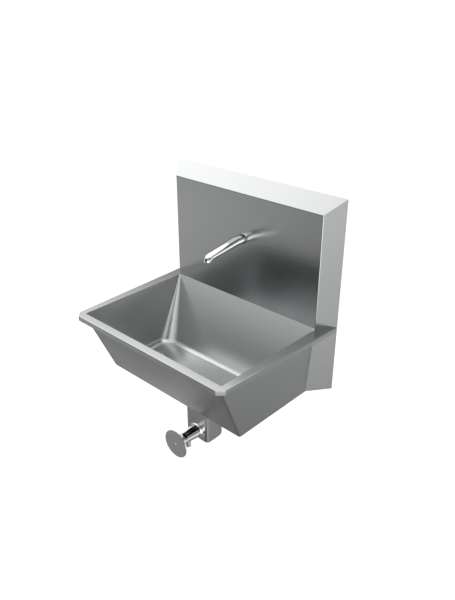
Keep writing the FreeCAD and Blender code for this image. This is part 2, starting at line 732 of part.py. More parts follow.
def make_shroud():
    body = new_body("service_shroud")
    height = "(shroud_bottom - %s)" % CASING_DEPTH
    pad(body, "column", shroud_section(body, "column_outline", "0", "-shroud_bottom"), height)
    tab = [("-tab_half", "-tab_front"), ("tab_half", "-tab_front"), ("tab_half", "-tab_rear"),
           ("-tab_half", "-tab_rear")]
    tab_level = "-%s - shroud_wall" % CASING_DEPTH
    tab_plan = rounded(body, "tab_outline", tab, ["tab_corner"] * 4, level=tab_level)
    pad(body, "tab", tab_plan, "shroud_wall")
    void = shroud_section(body, "void_outline", "shroud_wall", "-shroud_bottom + shroud_wall")
    cut(body, "column_void", void, height, along=True)
    holes = [(x, y, "screw_radius + screw_clearance") for x, y in screw_places()]
    cut(body, "tab_holes", circles(body, "tab_holes_outline", holes, level=tab_level),
        "shroud_wall", along=True)
    inlet = circles(body, "inlet_hole_outline", [("0", "-port_out", "inlet_hole")],
                    level="-shroud_bottom")
    cut(body, "inlet_opening", inlet, "shroud_wall", along=True)
    face = circles(body, "valve_hole_outline",
                   [("0", "-valve_drop", "shank_radius + shank_clearance")], "XZ_Plane",
                   "shroud_front - 2 * shroud_wall")
    cut(body, "valve_opening", face, "3 * shroud_wall", along=True)

    screws = new_body("shroud_screws")
    seat = "-%s - shroud_wall" % CASING_DEPTH
    tops = circles(screws, "heads", [(x, y, "screw_head_radius") for x, y in screw_places()],
                   level=seat)
    pad(screws, "screw_heads", tops, "screw_head_height", back=True)
    screws.AllowCompound = True
    shanks = circles(screws, "shanks", [(x, y, "screw_radius") for x, y in screw_places()],
                     level=seat)
    pad(screws, "screw_shanks", shanks, "shroud_wall + sheet + insert_height")
    inserts = new_body("threaded_inserts")
    inserts.AllowCompound = True
    base_top = "-%s + sheet" % CASING_DEPTH
    rings = [(x, y, "insert_radius") for x, y in screw_places()]
    pad(inserts, "insert_bodies", circles(inserts, "insert_outline", rings, level=base_top),
        "insert_height")
    bores = [(x, y, "screw_radius") for x, y in screw_places()]
    cut(inserts, "insert_bores", circles(inserts, "bore_outline", bores, level=base_top),
        "insert_height", along=True)


# ---------------------------------------------------------------- knee valve
VALVE = {"z": "-valve_drop", "turn": TO_FRONT}
ROSE_FRONT = "(shroud_front + rose_thick)"
COLLAR_FRONT = "(collar_rear + collar_rim)"
SPIGOT_REAR = "(collar_rear - collar_spigot)"
THRUST_FRONT = "(%s - stop_gap)" % SPIGOT_REAR
THRUST_REAR = "(%s - thrust_thick)" % THRUST_FRONT
STEM_BORE = "(stem_radius + stem_clearance)"
PAD_REAR = "(pad_front - pad_thick)"


def make_valve_body():
    """Lengths along the valve are distances from the wall."""
    outside = [("0", "valve_rear"), ("shank_radius - shank_chamfer", "valve_rear"),
               ("shank_radius", "valve_rear + shank_chamfer"), ("shank_radius", ROSE_FRONT),
               ("cone_wide", ROSE_FRONT), ("cone_narrow", "collar_rear"), ("0", "collar_rear")]
    body = turned("valve_body", outside, **VALVE)
    bosses = (("outlet", "port_out", "outlet_radius", "outlet_rise", True),
              ("inlet", "port_out", "inlet_boss", "inlet_drop - inlet_thread", False),
              ("inlet_thread", "port_out", "inlet_radius", "inlet_drop", False),
              ("adjuster", "stub_out", "boss_radius", "boss_drop", False))
    for name, out, radius, length, upward in bosses:
        mark = circles(body, name + "_boss_outline", [("0", out, radius)], "XZ_Plane")
        pad(body, name + "_boss", mark, length, upward)
    chamber = circles(body, "chamber_outline", [("0", "0", "chamber_radius")],
                      level="chamber_rear")
    cut(body, "chamber", chamber, "collar_rear - chamber_rear", along=True)
    way = circles(body, "waterway_outline", [("0", "0", "cartridge_radius")],
                  level="waterway_rear")
    cut(body, "waterway", way, "chamber_rear - waterway_rear", along=True)
    for name, length, downward in (("outlet", "outlet_rise", False),
                                   ("inlet", "inlet_drop", True)):
        mark = circles(body, name + "_bore_outline", [("0", "port_out", "port_bore")], "XZ_Plane")
        cut(body, name + "_bore", mark, length, downward)
    return body


def make_valve_trim():
    """Rose, collar, seal, cartridge and what clamps the valve to the shroud."""
    turned("valve_rose", [("shank_radius", "shroud_front"), ("rose_radius", "shroud_front"),
                          ("rose_radius", "shroud_front + rose_thick / 3"),
                          ("rose_radius - rose_bevel", ROSE_FRONT), ("shank_radius", ROSE_FRONT)], **VALVE)
    groove_rear = "(collar_rear + seal_inset)"
    groove_front = "(%s + 2 * seal_radius + seal_room)" % groove_rear
    groove = "(%s + 2 * seal_radius + seal_room)" % STEM_BORE
    rim = [(STEM_BORE, SPIGOT_REAR), ("chamber_radius", SPIGOT_REAR),
           ("chamber_radius", "collar_rear"), ("collar_radius", "collar_rear"),
           ("collar_radius", COLLAR_FRONT + " - collar_bevel"),
           ("collar_radius - collar_bevel", COLLAR_FRONT),
           (STEM_BORE, COLLAR_FRONT), (STEM_BORE, groove_front), (groove, groove_front),
           (groove, groove_rear), (STEM_BORE, groove_rear)]
    turned("valve_collar", rim, **VALVE)
    seal = new_body("stem_seal", **VALVE)
    centre = "%s + seal_radius + seal_room / 2" % STEM_BORE
    mark = circles(seal, "seal_section",
                   [(centre, "(%s + %s) / 2" % (groove_rear, groove_front), "seal_radius")],
                   "XZ_Plane")
    spin(seal, "seal_ring", mark)
    cartridge_rear = "(chamber_rear - cartridge_length)"
    blind = "(%s + cartridge_floor)" % cartridge_rear
    turned("timing_cartridge",
           [("0", cartridge_rear), ("cartridge_radius", cartridge_rear),
            ("cartridge_radius", "chamber_rear"), (STEM_BORE, "chamber_rear"),
            (STEM_BORE, blind), ("0", blind)], **VALVE)
    wall_rear = "(shroud_front - shroud_wall)"
    washer_rear = "(%s - washer_thick)" % wall_rear
    turned("valve_washer", ring("shank_radius", "washer_radius", washer_rear, wall_rear), **VALVE)
    nut("valve_backnut", "backnut_flats", "shank_radius", washer_rear + " - backnut_height",
        "backnut_height", **VALVE)
    low = "-boss_drop - cap_length"
    cap = [("0", low), ("cap_radius - cap_bevel", low), ("cap_radius", low + " + cap_bevel"),
           ("cap_radius", "-boss_drop"), ("0", "-boss_drop")]
    turned("adjuster_cap", cap, y="-stub_out", z="-valve_drop")


def make_push_group():
    """What the knee moves: pad, screw and stem; and the spring behind them."""
    hub_rear = "(%s - pad_hub_length)" % PAD_REAR
    stem_front = "(%s - stem_recess)" % PAD_REAR
    screw_rear = "(pad_front - pad_screw_length)"
    stem = [("0", "stem_rear"), ("stem_radius", "stem_rear"), ("stem_radius", THRUST_REAR),
            ("thrust_radius", THRUST_REAR), ("thrust_radius", THRUST_FRONT),
            ("stem_radius", THRUST_FRONT), ("stem_radius", stem_front),
            ("pad_screw_radius", stem_front), ("pad_screw_radius", screw_rear), ("0", screw_rear)]
    turned("push_stem", stem, **VALVE)
    pad_profile = [("stem_radius", hub_rear), ("pad_hub_radius - pad_hub_chamfer", hub_rear),
                   ("pad_hub_radius", hub_rear + " + pad_hub_chamfer"),
                   ("pad_hub_radius", PAD_REAR),
                   ("pad_radius", PAD_REAR), ("pad_radius", "pad_front"),
                   ("pad_screw_radius", "pad_front"), ("pad_screw_radius", stem_front),
                   ("stem_radius", stem_front)]
    knee_pad = turned("knee_pad", pad_profile, **VALVE)
    rim = number("pad_radius")
    soften(knee_pad, "pad_rim", "pad_round",
           lambda edge: abs(edge.BoundBox.XMax - rim) < 0.01 and edge.BoundBox.ZLength < 0.01
           and abs(edge.BoundBox.XLength - 2 * rim) < 0.01)
    turned("pad_screw",
           [("0", screw_rear), ("pad_screw_radius", screw_rear), ("pad_screw_radius", "pad_front"),
            ("pad_screw_head", "pad_front"),
            ("pad_screw_head - pad_screw_bevel", "pad_front + pad_screw_dome"),
            ("0", "pad_front + pad_screw_dome")], **VALVE)


def make_spring():
    """The coil between the chamber's floor and the stem's thrust collar."""
    body = new_body("return_spring", **VALVE)
    start = "chamber_rear + spring_wire + spring_gap"
    length = "(%s - chamber_rear - 2 * (spring_wire + spring_gap))" % THRUST_REAR
    wire = circles(body, "wire_section", [("spring_radius", start, "spring_wire")], "XZ_Plane")
    coil = body.newObject("PartDesign::AdditiveHelix", "coil")
    coil.Profile = wire
    coil.ReferenceAxis = (wire, ["V_Axis"])
    coil.Mode = "height-turns-angle"
    coil.setExpression("Height", link(length))
    coil.setExpression("Turns", link("spring_turns"))


# ---------------------------------------------------------------- pipe and spout
PORT_TOP = "(-valve_drop + outlet_rise)"
ELBOW_LOW = "(spout_height - elbow_drop)"


def joined_ends(first, second):
    """Which end of each of two curves is shared, as a sketch numbers them."""
    ends = ((1, "StartPoint"), (2, "EndPoint"))
    for a, a_name in ends:
        for b, b_name in ends:
            if getattr(first, a_name).distanceToPoint(getattr(second, b_name)) < 1e-4:
                return a, b
    raise ValueError("curves do not meet")


def short_arc(centre, radius, start, end):
    """The lesser arc between two points, drawn anticlockwise as sketches keep them."""
    angles = [math.atan2(p.y - centre.y, p.x - centre.x) for p in (start, end)]
    if (angles[1] - angles[0]) % (2 * math.pi) > math.pi:
        angles.reverse()
    return Part.ArcOfCircle(Part.Circle(centre, V(0, 0, 1), radius), angles[0], angles[1])


def bent_route(body, name, places, bend):
    """A sketch of straight runs joined by tangent arcs at each inner place."""
    sketch = new_sketch(body, name, "YZ_Plane")
    points = [V(number(x), number(y), 0) for x, y in places]
    radius = number(bend)
    start = points[0]
    for before, here, after in zip(points, points[1:], points[2:]):
        back = (before - here).normalize()
        ahead = (after - here).normalize()
        half = back.getAngle(ahead) / 2
        reach = radius / math.tan(half)
        centre = here + (back + ahead).normalize() * (radius / math.sin(half))
        arc_start = here + back * reach
        arc_end = here + ahead * reach
        sketch.addGeometry(Part.LineSegment(start, arc_start), False)
        sketch.addGeometry(short_arc(centre, radius, arc_start, arc_end), False)
        start = arc_end
    sketch.addGeometry(Part.LineSegment(start, points[-1]), False)
    curves = sketch.GeometryCount
    joins = [joined_ends(sketch.Geometry[i], sketch.Geometry[i + 1]) for i in range(curves - 1)]
    for i, (a, b) in enumerate(joins):
        sketch.addConstraint(Sketcher.Constraint("Tangent", i, a, i + 1, b))
    for arc in range(1, curves, 2):
        index = sketch.addConstraint(Sketcher.Constraint("Radius", arc, radius))
        sketch.setExpression("Constraints[%d]" % index, link(bend))
    place_point(sketch, 0, 1, *places[0])
    place_point(sketch, curves - 1, 2, *places[-1])
    for i, place in enumerate(places[1:-1]):
        point = sketch.addGeometry(Part.Point(points[i + 1]), True)
        place_point(sketch, point, 1, *place)
        for line in (2 * i, 2 * i + 2):
            sketch.addConstraint(Sketcher.Constraint("PointOnObject", point, 1, line))
    return sketch, ["Edge%d" % (i + 1) for i in range(curves)]


def make_outlet_pipe():
    """One tube, straight runs joined by two bends in the plane X = 0."""
    body = new_body("outlet_pipe")
    places = [("-port_out", PORT_TOP), ("-port_out", "-pipe_low_bend"),
              ("-pipe_out", "-pipe_high_bend"), ("-pipe_out", ELBOW_LOW)]
    route, edges = bent_route(body, "pipe_route", places, "pipe_bend")
    rings = [("0", "-port_out", "pipe_radius"), ("0", "-port_out", "pipe_bore")]
    section = circles(body, "pipe_section", rings, level=PORT_TOP)
    pipe = feature(body, "AdditivePipe", "pipe", section)
    pipe.Spine = (route, edges)
    nut("pipe_union_nut", "union_flats", "pipe_radius", PORT_TOP, "union_height",
        y="-port_out")


SPOUT_FOOT = "(splash_depth + gasket_thick)"
KNEE_OUT = "(%s + spout_straight)" % SPOUT_FOOT
ARM_RUN = "(spout_reach - %s)" % KNEE_OUT
ARM_LENGTH = "sqrt(%s ^ 2 + spout_fall ^ 2)" % ARM_RUN


def arm_point(along, radius):
    """Place in the plane X = 0 of a point above the axis of the arm, past its knee."""
    y = "-%s - ((%s) * %s + (%s) * spout_fall) / %s" % (KNEE_OUT, along, ARM_RUN, radius,
                                                       ARM_LENGTH)
    z = "spout_height - ((%s) * spout_fall - (%s) * %s) / %s" % (along, radius, ARM_RUN,
                                                               ARM_LENGTH)
    return y, z


def turned_about_axis(body, name, corners):
    """Solid of the closed outline in the plane X = 0, turned about its last side."""
    profile = new_sketch(body, name + "_profile", "YZ_Plane")
    add_outline(profile, corners)
    axis = profile.addGeometry(Part.LineSegment(V(0, 0, 0), V(-1, 0, 0)), True)
    profile.addConstraint(Sketcher.Constraint("Coincident", axis, 1, 0, 1))
    profile.addConstraint(Sketcher.Constraint("Coincident", axis, 2, len(corners) - 1, 1))
    solid = feature(body, "Revolution", name, profile)
    solid.ReferenceAxis = (profile, ["Axis0"])
    solid.Angle = 360
    return solid


def ball(body, name, radius, out, level):
    """Sphere on the plane X = 0, this far out from the wall, at this level."""
    sphere = body.newObject("PartDesign::AdditiveSphere", name)
    sphere.AttachmentSupport = [(origin_plane(body, "XY_Plane"), "")]
    sphere.MapMode = "FlatFace"
    sphere.setExpression("Radius", link(radius))
    sphere.setExpression("AttachmentOffset.Base.y", link("-" + out))
    sphere.setExpression("AttachmentOffset.Base.z", link(level))


def make_spout():
    """A level root, a knee, a tapering arm that falls to a bend, and a short nozzle."""
    body = new_body("spout")
    knee = "spout_knee - bend_step"
    root = [("-" + SPOUT_FOOT, "spout_height"),
            ("-" + SPOUT_FOOT, "spout_height + spout_root"),
            ("-" + KNEE_OUT, "spout_height + " + knee),
            ("-" + KNEE_OUT, "spout_height")]
    turned_about_axis(body, "root", root)
    arm = [arm_point("0", "0"), arm_point("0", knee),
           arm_point(ARM_LENGTH, "spout_end - bend_step"), arm_point(ARM_LENGTH, "0")]
    turned_about_axis(body, "arm", arm)
    bend_z = "spout_height - spout_fall"
    ball(body, "knee", "spout_knee", KNEE_OUT, "spout_height")
    ball(body, "bend", "spout_end", "spout_reach", bend_z)
    top = circles(body, "nozzle_top", [("0", "-spout_reach", "spout_end - bend_step")],
                  level=bend_z)
    lean = "nozzle_length * tan(nozzle_lean * 1deg)"
    tip_z = bend_z + " - nozzle_length"
    tip = circles(body, "nozzle_tip", [("0", "-spout_reach - " + lean, "spout_end - nozzle_taper")],
                  level=tip_z)
    loft(body, "Additive", "nozzle", top, tip)
    bore = circles(body, "nozzle_bore_outline", [("0", "-spout_reach - " + lean, "nozzle_bore")],
                   level=tip_z)
    cut(body, "nozzle_opening", bore, "nozzle_bore_depth", along=True)
    shank = circles(body, "shank_outline", [("0", "spout_height", "spout_shank")], "XZ_Plane",
                    SPOUT_FOOT)
    pad(body, "shank", shank, "shank_length", back=True)

    insert = new_body("flow_straightener", y="-spout_reach - " + lean,
                      z=tip_z + " + insert_inset")
    disc = circles(insert, "insert_outline", [("0", "0", "nozzle_bore")])
    pad(insert, "insert_disc", disc, "insert_thick")
    hole = circles(insert, "insert_hole_outline", [("insert_circle", "0", "insert_hole")],
                   level="insert_thick")
    holes_round(insert, "insert_holes", hole, "insert_thick", "insert_count")


def make_spout_fixings():
    """Gasket, washer and nut on the spout's shank, and the elbow behind them."""
    place = {"z": "spout_height", "turn": TO_FRONT}
    turned("spout_gasket", ring("spout_hole", "spout_root - gasket_inset", "splash_depth",
                                SPOUT_FOOT), **place)
    sheet_rear = "(splash_depth - sheet)"
    washer_rear = "(%s - washer_thick)" % sheet_rear
    turned("spout_washer", ring("spout_shank", "spout_root", washer_rear, sheet_rear), **place)
    nut("spout_backnut", "spout_nut_flats", "spout_shank", washer_rear + " - spout_nut_height",
        "spout_nut_height", **place)
    front = "(pipe_out + elbow_length / 2)"
    rear = "(pipe_out - elbow_length / 2)"
    shank_rear = "(%s - shank_length)" % SPOUT_FOOT
    socket = [("0", rear), ("elbow_radius - elbow_bevel", rear),
              ("elbow_radius", rear + " + elbow_bevel"),
              ("elbow_radius", front), ("spout_shank", front), ("spout_shank", shank_rear),
              ("0", shank_rear)]
    elbow = turned("spout_elbow", socket, **place)
    leg = circles(elbow, "leg_outline", [("0", "pipe_out", "elbow_leg")], "XZ_Plane",
                  "elbow_drop")
    pad(elbow, "leg", leg, "elbow_drop - spout_shank", back=True)
    bore = circles(elbow, "leg_bore_outline", [("0", "pipe_out", "pipe_bore")], "XZ_Plane",
                   "elbow_drop")
    cut(elbow, "leg_bore", bore, "elbow_drop")


def make_earth_tag():
    """A lug under the base with its bolt, for the bonding wire."""
    body = new_body("earth_tag")
    middle = "(casing_foot_half - tag_inset)"
    high, low = "-" + CASING_DEPTH, "(-%s - tag_drop)" % CASING_DEPTH
    left, right = middle + " - tag_width / 2", middle + " + tag_width / 2"
    corners = [(left, low), (right, low), (right, high), (left, high)]
    plate = outline(body, "tag_outline", corners, "XZ_Plane", "tag_out")
    pad(body, "tag_plate", plate, "sheet")
    height = low + " + tag_width / 2"
    hole = circles(body, "tag_hole_outline", [(middle, height, "tag_hole")], "XZ_Plane",
                   "tag_out - sheet")
    cut(body, "tag_opening", hole, "3 * sheet", along=True)
    front = "(tag_out + sheet)"
    head = "(%s + screw_head_height)" % front
    rear = "(tag_out - earth_bolt_length)"
    thread = "(tag_hole - tag_clearance)"
    turned("earth_bolt",
           [("0", rear), (thread, rear), (thread, front), ("screw_head_radius", front),
            ("screw_head_radius", head), ("0", head)], x=middle, z=height, turn=TO_FRONT)
    nut("earth_nut", "2 * screw_head_radius", thread, "tag_out - earth_nut_height",
        "earth_nut_height", x=middle, z=height, turn=TO_FRONT)


make_bowl_deck()
make_casing()
make_base_panel()
make_splashback()
make_wall_rail()
make_wall_hanger()
make_waste()
make_shroud()
make_valve_body()
make_valve_trim()
make_push_group()
make_spring()
make_outlet_pipe()
make_spout()
make_spout_fixings()
make_earth_tag()

# ---------------------------------------------------------------- check and export
doc.recompute()
for item in doc.Objects:
    if "Invalid" in item.State or "Error" in item.State:
        raise ValueError("%s failed: %s" % (item.Label, item.State))
os.makedirs("parts", exist_ok=True)
for part in SUB_PARTS:
    if part.Shape.isNull() or not part.Shape.isValid():
        raise ValueError("%s has no valid shape" % part.Label)
    part.Shape.exportStep("parts/%s.step" % part.Label)
    box = part.Shape.BoundBox
    print("%-18s %9.0f mm3 %2d solid  x %.1f..%.1f  y %.1f..%.1f  z %.1f..%.1f" % (
        part.Label, part.Shape.Volume, len(part.Shape.Solids), box.XMin, box.XMax,
        box.YMin, box.YMax, box.ZMin, box.ZMax))
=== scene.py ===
# %% [markdown]
# # A wall-hung hand wash sink
# The sink hangs on a wall: a pressed bowl in a folded steel casing, a flared splashback, a
# chromed spout, and below the bowl a valve that is pushed with the knee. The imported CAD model
# is the fixed frame, and every visible piece takes its place and size from it.

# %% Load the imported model
import json
import math

import bpy
import numpy as np
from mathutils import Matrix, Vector


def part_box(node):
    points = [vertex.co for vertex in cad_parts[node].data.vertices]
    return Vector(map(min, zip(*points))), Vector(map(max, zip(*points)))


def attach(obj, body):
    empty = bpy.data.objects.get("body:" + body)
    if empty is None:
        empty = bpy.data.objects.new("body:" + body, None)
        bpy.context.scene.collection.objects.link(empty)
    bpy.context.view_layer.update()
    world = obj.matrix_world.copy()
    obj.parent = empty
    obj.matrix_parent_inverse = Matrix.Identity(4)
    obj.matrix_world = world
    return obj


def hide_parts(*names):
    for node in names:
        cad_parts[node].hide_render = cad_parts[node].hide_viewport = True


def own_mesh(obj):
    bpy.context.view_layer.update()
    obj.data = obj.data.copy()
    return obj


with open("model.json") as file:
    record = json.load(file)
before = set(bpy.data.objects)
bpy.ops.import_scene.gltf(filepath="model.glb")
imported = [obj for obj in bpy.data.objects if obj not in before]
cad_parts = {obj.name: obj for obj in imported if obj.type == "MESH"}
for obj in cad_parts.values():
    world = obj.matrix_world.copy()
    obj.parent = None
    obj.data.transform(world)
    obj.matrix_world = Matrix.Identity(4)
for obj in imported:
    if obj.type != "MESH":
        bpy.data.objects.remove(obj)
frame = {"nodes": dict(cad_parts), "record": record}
bpy.context.view_layer.update()
nodes = frame["nodes"]
scene = bpy.context.scene

# %% [markdown]
# ## The camera
# The camera was found by fitting the straight edges of the sink. It stands to the right of the
# sink and above it, close enough that the near corner looks large.

# %% Camera
AZIMUTH, ELEVATION = math.radians(42.82), math.radians(26.87)
LENS, SENSOR = 37.73, 36
camera_data = bpy.data.cameras.new("camera")
camera_data.lens, camera_data.sensor_width = LENS, SENSOR
camera = bpy.data.objects.new("camera", camera_data)
camera.location = (0.9964, -1.1765, 0.7607)
camera.rotation_euler = (math.pi / 2 - ELEVATION, 0, AZIMUTH)
scene.collection.objects.link(camera)
scene.camera = camera
print("camera %.2f m from the middle of the deck" % camera.location.length)

# %% [markdown]
# ## The room
# Steel shows what stands round it, so the room matters as much as the finish. The camera sees
# plain white behind the sink, and the steel sees a grey room with a few wide, soft lights. An
# image of a real room could do this too, but a few named directions are easier to understand
# and to change: each one answers one face of the sink.

# %% Helpers for shader nodes
def add_node(tree, kind, **values):
    """A new node with its properties and inputs set by name."""
    node = tree.nodes.new(kind)
    for key, value in values.items():
        if hasattr(node, key):
            setattr(node, key, value)
        else:
            node.inputs[key.replace("_", " ").title()].default_value = value
    return node


def math_node(tree, operation, first, second):
    """A math node; each input is a number or another node's output."""
    node = add_node(tree, "ShaderNodeMath", operation=operation)
    for socket, value in zip(node.inputs, (first, second)):
        if isinstance(value, (int, float)):
            socket.default_value = value
        else:
            tree.links.new(value, socket)
    return node.outputs[0]


def soft_step(tree, value, start, end, height):
    """A smooth rise from 0 to height while the value goes from start to end."""
    node = add_node(tree, "ShaderNodeMapRange", interpolation_type="SMOOTHSTEP",
                    From_Min=start, From_Max=end, To_Min=0, To_Max=height)
    tree.links.new(value, node.inputs["Value"])
    return node.outputs["Result"]


# %% [markdown]
# The base of the room is a grey that changes with height: dim above, brightest just below the
# level of the eye, and grey again towards the ground. It is a little lighter to the right, and
# darker at the back and behind the camera.

# %% The room's base grey
# how bright the room is against height, from straight down (-1) to straight up (1)
ROOM_BY_HEIGHT = [(-1.0, 0.20), (-0.77, 0.26), (-0.50, 0.58), (-0.30, 0.88), (-0.10, 0.50),
                  (0.10, 0.22), (0.40, 0.14), (1.0, 0.14)]
ROOM_MOST, ROOM_LEAST = 1.6, 0.04
ROOM_RIGHT, ROOM_BACK, ROOM_FRONT, FRONT_POWER = 0.07, -0.14, -0.9, 4

world = bpy.data.worlds.new("room")
scene.world = world
world.use_nodes = True
tree = world.node_tree
direction = add_node(tree, "ShaderNodeTexCoord").outputs["Generated"]
axes = add_node(tree, "ShaderNodeSeparateXYZ")
tree.links.new(direction, axes.inputs[0])
height = math_node(tree, "MULTIPLY_ADD", axes.outputs["Z"], 0.5)
height.node.inputs[2].default_value = 0.5
bands = add_node(tree, "ShaderNodeValToRGB")
tree.links.new(height, bands.inputs["Fac"])
stops = bands.color_ramp.elements
while len(stops) < len(ROOM_BY_HEIGHT):
    stops.new(0.5)
for stop, (rise, radiance) in zip(stops, ROOM_BY_HEIGHT):
    stop.position = (rise + 1) / 2
    stop.color = (radiance / ROOM_MOST,) * 3 + (1,)
backward = math_node(tree, "MAXIMUM", axes.outputs["Y"], 0)
forward = math_node(tree, "MAXIMUM", math_node(tree, "MULTIPLY", axes.outputs["Y"], -1), 0)
level = math_node(tree, "MULTIPLY", bands.outputs["Color"], ROOM_MOST)
for share in (math_node(tree, "MULTIPLY", axes.outputs["X"], ROOM_RIGHT),
              math_node(tree, "MULTIPLY", backward, ROOM_BACK),
              math_node(tree, "MULTIPLY", math_node(tree, "POWER", forward, FRONT_POWER),
                        ROOM_FRONT)):
    level = math_node(tree, "ADD", level, share)
level = math_node(tree, "MAXIMUM", level, ROOM_LEAST)
print("room levels:", ROOM_BY_HEIGHT)

# %% [markdown]
# Each soft light is a round patch in one direction. Its edge is given as two cosines of the
# angle from its middle: where it begins and where it is full. The list names what it lights.

# %% The room's soft lights
ROOM_LIGHTS = [
    ("ceiling, on the bowl's rear wall and the top slope", (-0.35, -0.05, 0.93), (0.59, 0.68), 0.95),
    ("left window, on the left of the slope", (-0.85, 0, 0.50), (0.76, 1.0), 0.85),
    ("right lamp, on the bowl's left wall", (0.54, 0.13, 0.83), (0.84, 0.92), 1.0),
    ("right window, on the spout's near side", (0.68, -0.7, -0.25), (0.92, 0.97), 1.3),
    ("door, on the splashback's foot", (0.66, -0.75, -0.04), (0.84, 0.92), 0.6),
    ("front lamp, in the bowl's rear corner", (0.2, -0.68, 0.71), (0.95, 0.99), 0.5),
    ("rear lamp, on the deck", (-0.3, 0.6, 0.75), (0.84, 0.93), 0.45),
]
for name, towards, (begins, full), light in ROOM_LIGHTS:
    facing = add_node(tree, "ShaderNodeVectorMath", operation="DOT_PRODUCT")
    facing.inputs[1].default_value = Vector(towards).normalized()
    tree.links.new(direction, facing.inputs[0])
    patch = soft_step(tree, facing.outputs["Value"], begins, full, light)
    level = math_node(tree, "ADD", level, patch)
shown = add_node(tree, "ShaderNodeMix", data_type="FLOAT")
tree.links.new(add_node(tree, "ShaderNodeLightPath").outputs["Is Camera Ray"], shown.inputs[0])
tree.links.new(level, shown.inputs[2])
shown.inputs[3].default_value = 1
backdrop = tree.nodes["Background"]
backdrop.inputs["Color"].default_value = (1, 1, 1, 1)
tree.links.new(shown.outputs[0], backdrop.inputs["Strength"])
print("%d soft lights" % len(ROOM_LIGHTS))

# %% [markdown]
# ## The paper
# A photographer hangs a sheet of white paper that runs flat under the subject and curves up
# behind it. It is modelled as it is hung: a plane is narrowed at its near edge, and its far edge
# is extruded up a curve. It just fills the camera's view, so the steel still sees the room
# beside it. It shows as white to the eye and in the steel, and its own weak shading keeps the
# sink's shadow.

# %% Paper under and behind the sink
PAPER_NEAR, PAPER_FAR = 3.6, 5.0
PAPER_DROP, PAPER_CURVE, PAPER_TOP = 4.0, 1.6, 2.7
PAPER_NEAR_WIDTH, PAPER_FAR_WIDTH = 4.1, 5.8
CURVE_STEPS = 12
PLACE_TOLERANCE = 0.01


def start_clean():
    """Nothing selected and nothing being edited, so an operator acts on one piece only."""
    if bpy.context.object and bpy.context.object.mode != "OBJECT":
        bpy.ops.object.mode_set(mode="OBJECT")
    bpy.ops.object.select_all(action="DESELECT")


def select_edge_at(piece, y):
    """In edit mode, select only the edges whose two ends lie at a given Y."""
    bpy.ops.mesh.select_mode(type="EDGE")
    bpy.ops.mesh.select_all(action="DESELECT")
    bpy.ops.object.mode_set(mode="OBJECT")
    for edge in piece.data.edges:
        ends = [piece.data.vertices[i].co.y for i in edge.vertices]
        edge.select = all(abs(end - y) < PLACE_TOLERANCE for end in ends)
    bpy.ops.object.mode_set(mode="EDIT")


start_clean()
bpy.ops.mesh.primitive_plane_add(size=1, location=(0, 0, 0))
paper = bpy.context.object
paper.name = "paper"
paper.scale = (PAPER_FAR_WIDTH, PAPER_FAR - PAPER_NEAR, 1)
paper.location = (0, (PAPER_FAR + PAPER_NEAR) / 2, -PAPER_DROP)
bpy.ops.object.transform_apply(location=True, rotation=True, scale=True)
bpy.ops.object.mode_set(mode="EDIT")
select_edge_at(paper, PAPER_NEAR)
bpy.ops.transform.resize(value=(PAPER_NEAR_WIDTH / PAPER_FAR_WIDTH, 1, 1),
                         center_override=(0, PAPER_NEAR, -PAPER_DROP))
select_edge_at(paper, PAPER_FAR)
for step in range(CURVE_STEPS):
    before, after = (math.pi / 2 * i / CURVE_STEPS for i in (step, step + 1))
    move = (0, PAPER_CURVE * (math.sin(after) - math.sin(before)),
            PAPER_CURVE * (math.cos(before) - math.cos(after)))
    bpy.ops.mesh.extrude_edges_move(TRANSFORM_OT_translate={"value": move})
bpy.ops.mesh.extrude_edges_move(TRANSFORM_OT_translate={"value": (0, 0, PAPER_TOP)})
bpy.ops.object.mode_set(mode="OBJECT")
bpy.ops.object.shade_smooth()
paper.rotation_euler = (0, 0, AZIMUTH)
paper.location = (camera.location.x, camera.location.y, 0)
bpy.ops.object.transform_apply(location=True, rotation=True, scale=True)
print("paper %.1f m wide, %.1f m below the deck" % (PAPER_FAR_WIDTH, PAPER_DROP))

# %% The paper's look
PAPER_GLOW, PAPER_SHADE = 0.85, 0.45
paper_look = bpy.data.materials.new("paper")
paper_look.use_nodes = True
tree = paper_look.node_tree
tree.nodes.clear()
rays = add_node(tree, "ShaderNodeLightPath").outputs
seen = math_node(tree, "MAXIMUM", rays["Is Camera Ray"], rays["Is Glossy Ray"])
seen = math_node(tree, "MAXIMUM", seen, rays["Is Transmission Ray"])
glow = add_node(tree, "ShaderNodeEmission")
tree.links.new(math_node(tree, "MULTIPLY", seen, PAPER_GLOW), glow.inputs["Strength"])
matt = add_node(tree, "ShaderNodeBsdfDiffuse", Color=(PAPER_SHADE,) * 3 + (1,))
both = add_node(tree, "ShaderNodeAddShader")
tree.links.new(glow.outputs[0], both.inputs[0])
tree.links.new(matt.outputs[0], both.inputs[1])
output = add_node(tree, "ShaderNodeOutputMaterial")
tree.links.new(both.outputs[0], output.inputs["Surface"])
paper.data.materials.append(paper_look)
print("paper glows at %.2f and keeps shadows at %.2f" % (PAPER_GLOW, PAPER_SHADE))

# %% [markdown]
# ## The lamp
# One wide soft box hangs overhead and to the left. It is weak, because the room does most of
# the work on bare steel, but it gives the paper its soft shadow and the dull pieces their light.

# %% A soft box overhead
LAMP_PLACE, LAMP_SIZE, LAMP_STRENGTH = (-1.3, -0.4, 2.3), 2.4, 4
lamp_data = bpy.data.lights.new("overhead", "AREA")
lamp_data.shape = "RECTANGLE"
lamp_data.size, lamp_data.size_y, lamp_data.energy = LAMP_SIZE, LAMP_SIZE, LAMP_STRENGTH
lamp = bpy.data.objects.new("overhead", lamp_data)
lamp.location = LAMP_PLACE
lamp.rotation_euler = (-Vector(LAMP_PLACE)).to_track_quat("-Z", "Y").to_euler()
scene.collection.objects.link(lamp)
scene.view_settings.view_transform = "Standard"
print("soft box %.1f m above the deck" % LAMP_PLACE[2])

